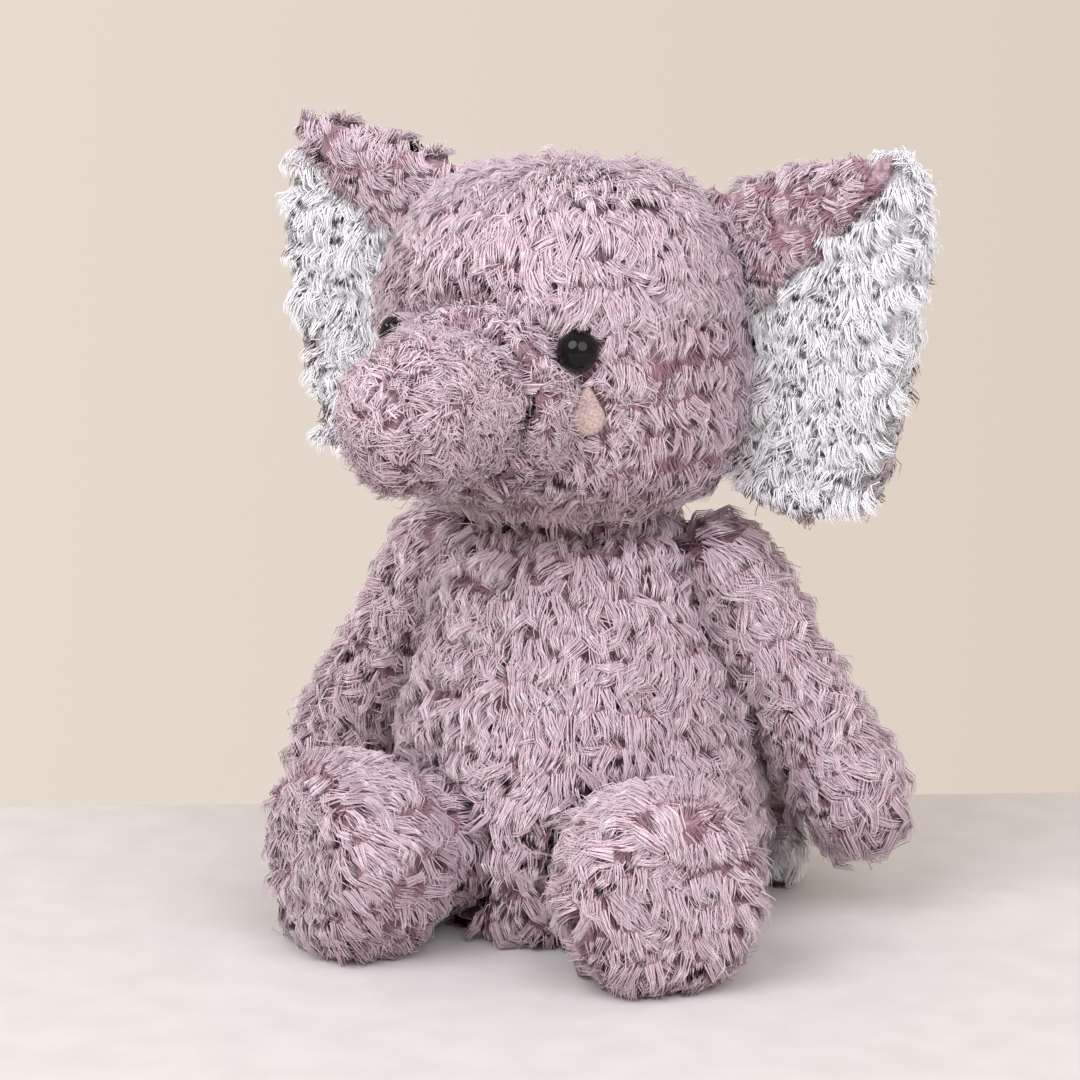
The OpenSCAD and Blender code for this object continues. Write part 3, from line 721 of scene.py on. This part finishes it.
for side in SIDES:
    finish_node(f"eye_{side}", EYE)
    finish_node(f"eye_{side}_washer", WASHER)
    cover(f"tusk_{side}_pad", [f"tusk_{side}"], "head", FELT, voxel=0.5 * MM, inset=-0.8 * MM,
          smooth=8, pressure=1, reach=0.3 * MM)
    arm_covers[side] = cover(f"arm_{side}_cover", [f"arm_{side}_outer", f"arm_{side}_inner",
                             f"arm_{side}_stuffing"], f"arm_{side}", MAUVE_BACKING_PAINTED_SHADE)
    leg_covers[side] = cover(f"leg_{side}_cover", [f"leg_{side}_top", f"leg_{side}_under",
                             f"foot_{side}_sole", f"leg_{side}_stuffing"], f"leg_{side}",
                             MAUVE_BACKING_PAINTED_SHADE)
    ear_linings[side] = cover(f"ear_{side}_lining_cover", [f"ear_{side}_lining", f"ear_{side}_wadding"],
                              f"ear_{side}", WHITE_BACKING, voxel=1.8 * MM, inset=0.5 * MM,
                              smooth=3, reach=1 * MM)
    ear_backs[side] = cover(f"ear_{side}_back_cover", [f"ear_{side}_back"], f"ear_{side}",
                            MAUVE_BACKING_PAINTED_SHADE, voxel=1.5 * MM, inset=0.4 * MM, smooth=2,
                            reach=0.6 * MM)

# The crease in the trunk's end: a plane that cuts its front, and the groove along it
CREASE_DEPTH = 3.5 * MM
CREASE_WIDTH = 3 * MM
trunk_middle = middle("trunk_stuffing")
CREASE_AT = trunk_middle + np.array([-11, -10, 0]) * MM
CREASE_ALONG = unit(np.array([0.20, 0.06, -0.97]))
CREASE_INWARD = unit(np.array([-0.62, 0.78, 0.0]))
CREASE_NORMAL = unit(np.cross(CREASE_ALONG, CREASE_INWARD))
ELSEWHERE = 1.0             # a distance that stands for far away


def from_crease(point):
    """Signed distance from the crease's plane, or far away where the trunk has no crease."""
    if (point - trunk_middle) @ TRUNK_FACES > -4 * MM:
        return (point - CREASE_AT) @ CREASE_NORMAL
    return ELSEWHERE


def press_crease(piece):
    points = coordinates(piece.data)
    for i, point in enumerate(points):
        depth = CREASE_DEPTH * math.exp(-(from_crease(point) / CREASE_WIDTH) ** 2)
        points[i] = point + unit(trunk_middle - point) * depth
    piece.data.vertices.foreach_set("co", points.ravel())
    piece.data.update()


press_crease(trunk_cover)

body_tree, head_tree, neck_tree = tree_of(body_cover), tree_of(head_cover), tree_of(neck_cover)
muzzle_tree, trunk_tree = tree_of(muzzle_cover), tree_of(trunk_cover)
arm_trees = {side: tree_of(arm_covers[side]) for side in SIDES}
leg_trees = {side: tree_of(leg_covers[side]) for side in SIDES}

# Body
body_middle = middle("body_stuffing")
seeds = rows_round(body_tree, (0, 0, body_middle[2]), UP, (0, -1, 0), LONG, np.random.default_rng(1))
seeds = chosen(seeds, lambda p, n: not (n[2] < -0.8 and p[2] < 6 * MM) and p[2] < 108 * MM)
top = scatter(body_cover, 7 * MM, np.random.default_rng(13), lambda p: np.array([p[0], p[1], -0.3 * MM]))
seeds = joined(seeds, chosen(top, lambda p, n: p[2] > 106 * MM and n[2] > -0.2))
seeds = clear_of(seeds, *arm_trees.values(), *leg_trees.values(), neck_tree, margin=0.5 * MM)
grow_panels(body_tree, seeds, LONG, MAUVE_FIBRES, "torso", BODY_PANELS, 1)

# Neck
seeds = scatter(neck_cover, 8 * MM, np.random.default_rng(11), lambda p: -UP)
seeds = chosen(clear_of(seeds, head_tree, body_tree), lambda p, n: n[2] < 0.5)
grow_panels(neck_tree, seeds, LONG, MAUVE_FIBRES, "neck", ["neck_stuffing"], 11)

# Head, with the pile kept off the eyes and the tusks
head_middle = np.array([-1.3 * MM, -9.5 * MM, 174 * MM])
MUZZLE_HEIGHT = 165 * MM


def eye_middle(side):
    """The centre of an eye's dome: the middle of its highest and lowest points."""
    points = coordinates(frame["nodes"][f"eye_{side}"].data)
    high = points[points[:, 2] > points[:, 2].max() - 0.3 * MM]
    return high.mean(0) * np.array([1, 1, 0]) + np.array([0, 0, middle(f"eye_{side}")[2]])


eyes = [eye_middle(side) for side in SIDES]
tusks = [middle(f"tusk_{side}") for side in SIDES]


def on_face(point):
    """Whether a place is under an eye or a tusk."""
    if any(np.linalg.norm(point - e) < 7 * MM for e in eyes):
        return True
    return any(np.linalg.norm((point - t) * np.array([1, 1, 0.68])) < 5.6 * MM for t in tusks)


def face_distance(point):
    """How far a place is from the nearest eye or tusk."""
    return min(np.linalg.norm(point - c) for c in eyes + tusks)


def across_muzzle(point):
    """The way from the muzzle's axis straight out to a place."""
    away = point - np.array([head_middle[0], head_middle[1], MUZZLE_HEIGHT])
    return away - (away @ HEAD_FACES) * HEAD_FACES


def near_muzzle(point):
    """Whether a place on the head is beside the muzzle."""
    return (point - head_middle) @ HEAD_FACES > 0 and np.linalg.norm(across_muzzle(point)) < 38 * MM


seeds = rows_round(head_tree, head_middle, UP, HEAD_FACES, HEAD, np.random.default_rng(2))
seeds = clear_of(seeds, neck_tree, muzzle_tree, margin=1 * MM)
seeds = chosen(seeds, lambda p, n: face_distance(p) > 11 * MM)
grow_panels(head_tree, seeds, HEAD, MAUVE_FIBRES, "head", HEAD_PANELS, 2, on_face)

# The shorter pile round the eyes and the tusks turns away from the muzzle and down
rng = np.random.default_rng(12)
seeds = scatter(head_cover, FACE.spacing, rng,
                lambda p: -UP + 0.5 * unit(p - np.array([-12 * MM, -58 * MM, p[2]])))
seeds = chosen(seeds, lambda p, n: (face_distance(p) > 5 * MM
                                    and (face_distance(p) < 15 * MM or near_muzzle(p))))
seeds = chosen(seeds, lambda p, n: not inside(muzzle_tree, p + unit(across_muzzle(p)) * 3 * MM))
trees = [node_tree(n) for n in HEAD_PANELS]
for number, panel in enumerate(HEAD_PANELS):
    own = chosen(seeds, lambda p, n: np.argmin([t.find_nearest(p)[3] for t in trees]) == number)
    grow(panel + "_face_pile", head_tree, own, FACE, MAUVE_FIBRES, "head", [panel],
         120 + number, on_face)

# A brow of longer pile hangs over the right eye from the side of the gusset
right_eye = eyes[1]
BROW_SIDE = unit(np.array([0.82, -0.1, 0.3]))
seeds = scatter(head_cover, BROW.spacing, rng, lambda p: right_eye - p + 2 * MM * UP)
seeds = chosen(seeds, lambda p, n: (5.5 * MM < np.linalg.norm(p - right_eye) < 13 * MM
                                    and unit(p - right_eye) @ BROW_SIDE > 0.3))
grow("head_gusset_brow", head_tree, seeds, BROW, MAUVE_FIBRES, "head",
     ["head_gusset"], 130)

# Muzzle and trunk: short curls that point every way
rng = np.random.default_rng(3)
seeds = scatter(muzzle_cover, SHORT.spacing, rng, lambda p: rng.normal(0, 1, 3) - UP * 0.4)
seeds = chosen(seeds, lambda p, n: not inside(head_tree, p + HEAD_FACES * 3.5 * MM))
seeds = chosen(seeds, lambda p, n: not inside(trunk_tree, p - TRUNK_FACES * 3 * MM))
grow_panels(muzzle_tree, seeds, SHORT, MAUVE_FIBRES, "head", ["muzzle"], 3, on_face)
seeds = scatter(trunk_cover, SHORT.spacing, rng, lambda p: rng.normal(0, 1, 3) - UP * 0.5
                + 0.9 * CREASE_NORMAL * np.sign(from_crease(p)) * (abs(from_crease(p)) < 7 * MM))
seeds = chosen(seeds, lambda p, n: abs(from_crease(p)) > 1.1 * MM)
seeds = chosen(seeds, lambda p, n: not inside(muzzle_tree, p + TRUNK_FACES * 3 * MM))
grow_panels(trunk_tree, seeds, SHORT, MAUVE_FIBRES, "trunk", TRUNK_PANELS, 4)

# Arms, with the pile running down to the hand
for side in SIDES:
    shoulder = np.array(joints[f"arm_{side}_swing"]["pos_m"])
    centre = middle(f"arm_{side}_stuffing")
    seeds = rows_round(arm_trees[side], centre, unit(shoulder - centre), (0, -1, 0), ARM,
                       np.random.default_rng(5 if side == "left" else 6))
    by_shoulder = scatter(arm_covers[side], 6.5 * MM, np.random.default_rng(14), lambda p: centre - shoulder)
    seeds = joined(seeds, chosen(by_shoulder, lambda p, n: np.linalg.norm(p - shoulder) < 26 * MM))
    seeds = clear_of(seeds, body_tree, margin=0.5 * MM)
    grow_panels(arm_trees[side], seeds, ARM, MAUVE_FIBRES, f"arm_{side}",
                [f"arm_{side}_outer", f"arm_{side}_inner"], 5 if side == "left" else 6)

# Legs, with the pile turning outwards from a crown high on the sole
for side in SIDES:
    faces = LEG_FACES[side]
    hip = np.array(joints[f"leg_{side}_lift"]["pos_m"])
    centre = hip + faces * 27 * MM
    crown = unit(faces * 17 * MM + UP * 17 * MM)
    rng = np.random.default_rng(7 if side == "left" else 8)
    seeds = rows_round(leg_trees[side], centre, crown, -UP, FOOT, rng)
    seeds = chosen(seeds, lambda p, n: (p - centre) @ faces > -6 * MM)
    behind = scatter(leg_covers[side], 8 * MM, rng, lambda p: -0.6 * faces - 0.8 * UP)
    behind = chosen(behind, lambda p, n: (p - centre) @ faces < -6 * MM)
    seeds = joined(seeds, behind)
    seeds = clear_of(seeds, body_tree, margin=1.5 * MM)
    seeds = chosen(seeds, lambda p, n: not (n[2] < -0.93 and p[2] < 4 * MM))
    grow_panels(leg_trees[side], seeds, FOOT, MAUVE_FIBRES, f"leg_{side}",
                [f"foot_{side}_sole", f"leg_{side}_top", f"leg_{side}_under"], 7 if side == "left" else 8)

# Ears: rows across both faces and a fringe along the edge
EAR_FACES = {"left": unit(np.array([-0.342, -0.94, 0])), "right": unit(np.array([-0.105, -0.995, 0]))}


def ear_seeds(side, pile, rng, front):
    """Tuft places on one face of an ear, off its free edges: the lining's and the back's."""
    faces = EAR_FACES[side] if front else -EAR_FACES[side]
    across = np.cross(UP, faces)
    lining, back = tree_of(ear_linings[side]), tree_of(ear_backs[side])
    both = tree_of(ear_linings[side], ear_backs[side])
    centre = middle(f"ear_{side}_lining", f"ear_{side}_back")
    outward = across * np.sign((centre - head_middle) @ across)
    found = ([], [])
    rows = int(115 * MM / pile.pitch)
    edge = (3 if front else 9) * MM
    for row in range(-rows // 2, rows // 2 + 1):
        for place in range(-5, 6):
            x = (place + 0.5 * (row % 2) + rng.normal(0, 0.14)) * pile.spacing
            z = (row + rng.normal(0, 0.12)) * pile.pitch
            start = centre + across * x + UP * z + faces * 40 * MM
            hits = [t.ray_cast(Vector(start), Vector(-faces)) for t in (lining, back)]
            near = [h[3] if h[0] is not None else 1.0 for h in hits]
            which = int(near[1] < near[0])
            if near[which] == 1.0:
                continue
            spot = start - faces * near[which]
            if any(both.ray_cast(Vector(spot + a * edge + faces * 9 * MM), Vector(-faces))[0] is None
                   for a in (outward, -UP)):
                continue
            away = (spot - centre) * np.array([1, 1, 0.4])
            away -= (away @ faces) * faces
            flow = -UP + 0.5 * away / (45 * MM) + (0.35 * unit(away) if which and front else 0)
            found[which].append((spot, faces, unit(flow)))
    return [tuple(np.array([s[k] for s in group]).reshape(-1, 3) for k in range(3)) for group in found]


def rim_seeds(side, pile):
    """Tuft places along the free edge of an ear."""
    faces = EAR_FACES[side]
    across = np.cross(UP, faces)
    tree = tree_of(ear_linings[side], ear_backs[side])
    centre = middle(f"ear_{side}_lining", f"ear_{side}_back")
    seeds, last = [], None
    for step in range(720):
        turn = math.radians(step / 2)
        ray = across * math.cos(turn) + UP * math.sin(turn)
        hit = tree.ray_cast(Vector(centre + ray * 120 * MM), Vector(-ray))[0]
        if hit is None or (last is not None and (hit - last).length < pile.spacing):
            continue
        last = hit
        if inside(head_tree, hit) or np.linalg.norm(np.array(hit)[:2] - head_middle[:2]) < 52 * MM:
            continue
        flow = 0.35 * faces - UP + 0.3 * ray
        seeds.append((np.array(hit) - ray * 1 * MM, ray, unit(flow - (flow @ ray) * ray)))
    return tuple(np.array([s[k] for s in seeds]) for k in range(3))


CORNER = {"left": 17 * MM, "right": 60 * MM}    # where an ear's fold ends, out from the ear's middle


def grow_ear(side, number):
    rng = np.random.default_rng(20 + number)
    ear_tree = tree_of(ear_linings[side], ear_backs[side])
    white, _ = ear_seeds(side, EAR, rng, True)
    _, behind = ear_seeds(side, EAR, rng, False)
    rim = rim_seeds(side, FRINGE)
    centre = middle(f"ear_{side}_lining", f"ear_{side}_back")
    outward = unit((centre - head_middle) * np.array([1, 1, 0]))
    faces = EAR_FACES[side]
    fold = scatter(ear_backs[side], CREST.spacing, rng, lambda p: 0.5 * faces - 0.6 * UP - 0.3 * outward)

    def on_fold(p, n):
        return (n @ faces > 0.15 or n[2] > 0.3) and (p - centre) @ outward < CORNER[side] + 2 * MM

    def off_fold(p, n):
        return n[2] < 0.6 or (p - centre) @ outward > CORNER[side]

    def off_head(p, n):
        return not inside(head_tree, p)

    for name, seeds, pile, materials, part, seed in (
            ("lining_pile", chosen(white, off_head), EAR, WHITE_FIBRES, "lining", 30),
            ("back_pile", chosen(behind, off_head), EAR, MAUVE_FIBRES, "back", 40),
            ("lining_fringe", chosen(rim, off_fold), FRINGE, WHITE_FIBRES, "lining", 50),
            ("back_fringe", chosen(chosen(fold, on_fold), off_head), CREST, MAUVE_FIBRES, "back", 60)):
        node = f"ear_{side}_{part}"
        grow(f"ear_{side}_{name}", ear_tree, seeds, pile, materials, f"ear_{side}", [node],
             seed + number)


for number, side in enumerate(SIDES):
    grow_ear(side, number)

# Tail
rng = np.random.default_rng(9)
seeds = scatter(tail_cover, TAIL.spacing, rng, lambda p: np.array([p[1], -p[0], -0.6 * abs(p[0])]))
grow_panels(tree_of(tail_cover), seeds, TAIL, MAUVE_FIBRES, "tail", ["tail_cover"], 9)
seeds = scatter(tuft_cover, TUFT.spacing, rng, lambda p: np.array([0.1, -0.1, -1.0]))
grow_panels(tree_of(tuft_cover), seeds, TUFT, WHITE_FIBRES, "tail", ["tail_tuft"], 10)
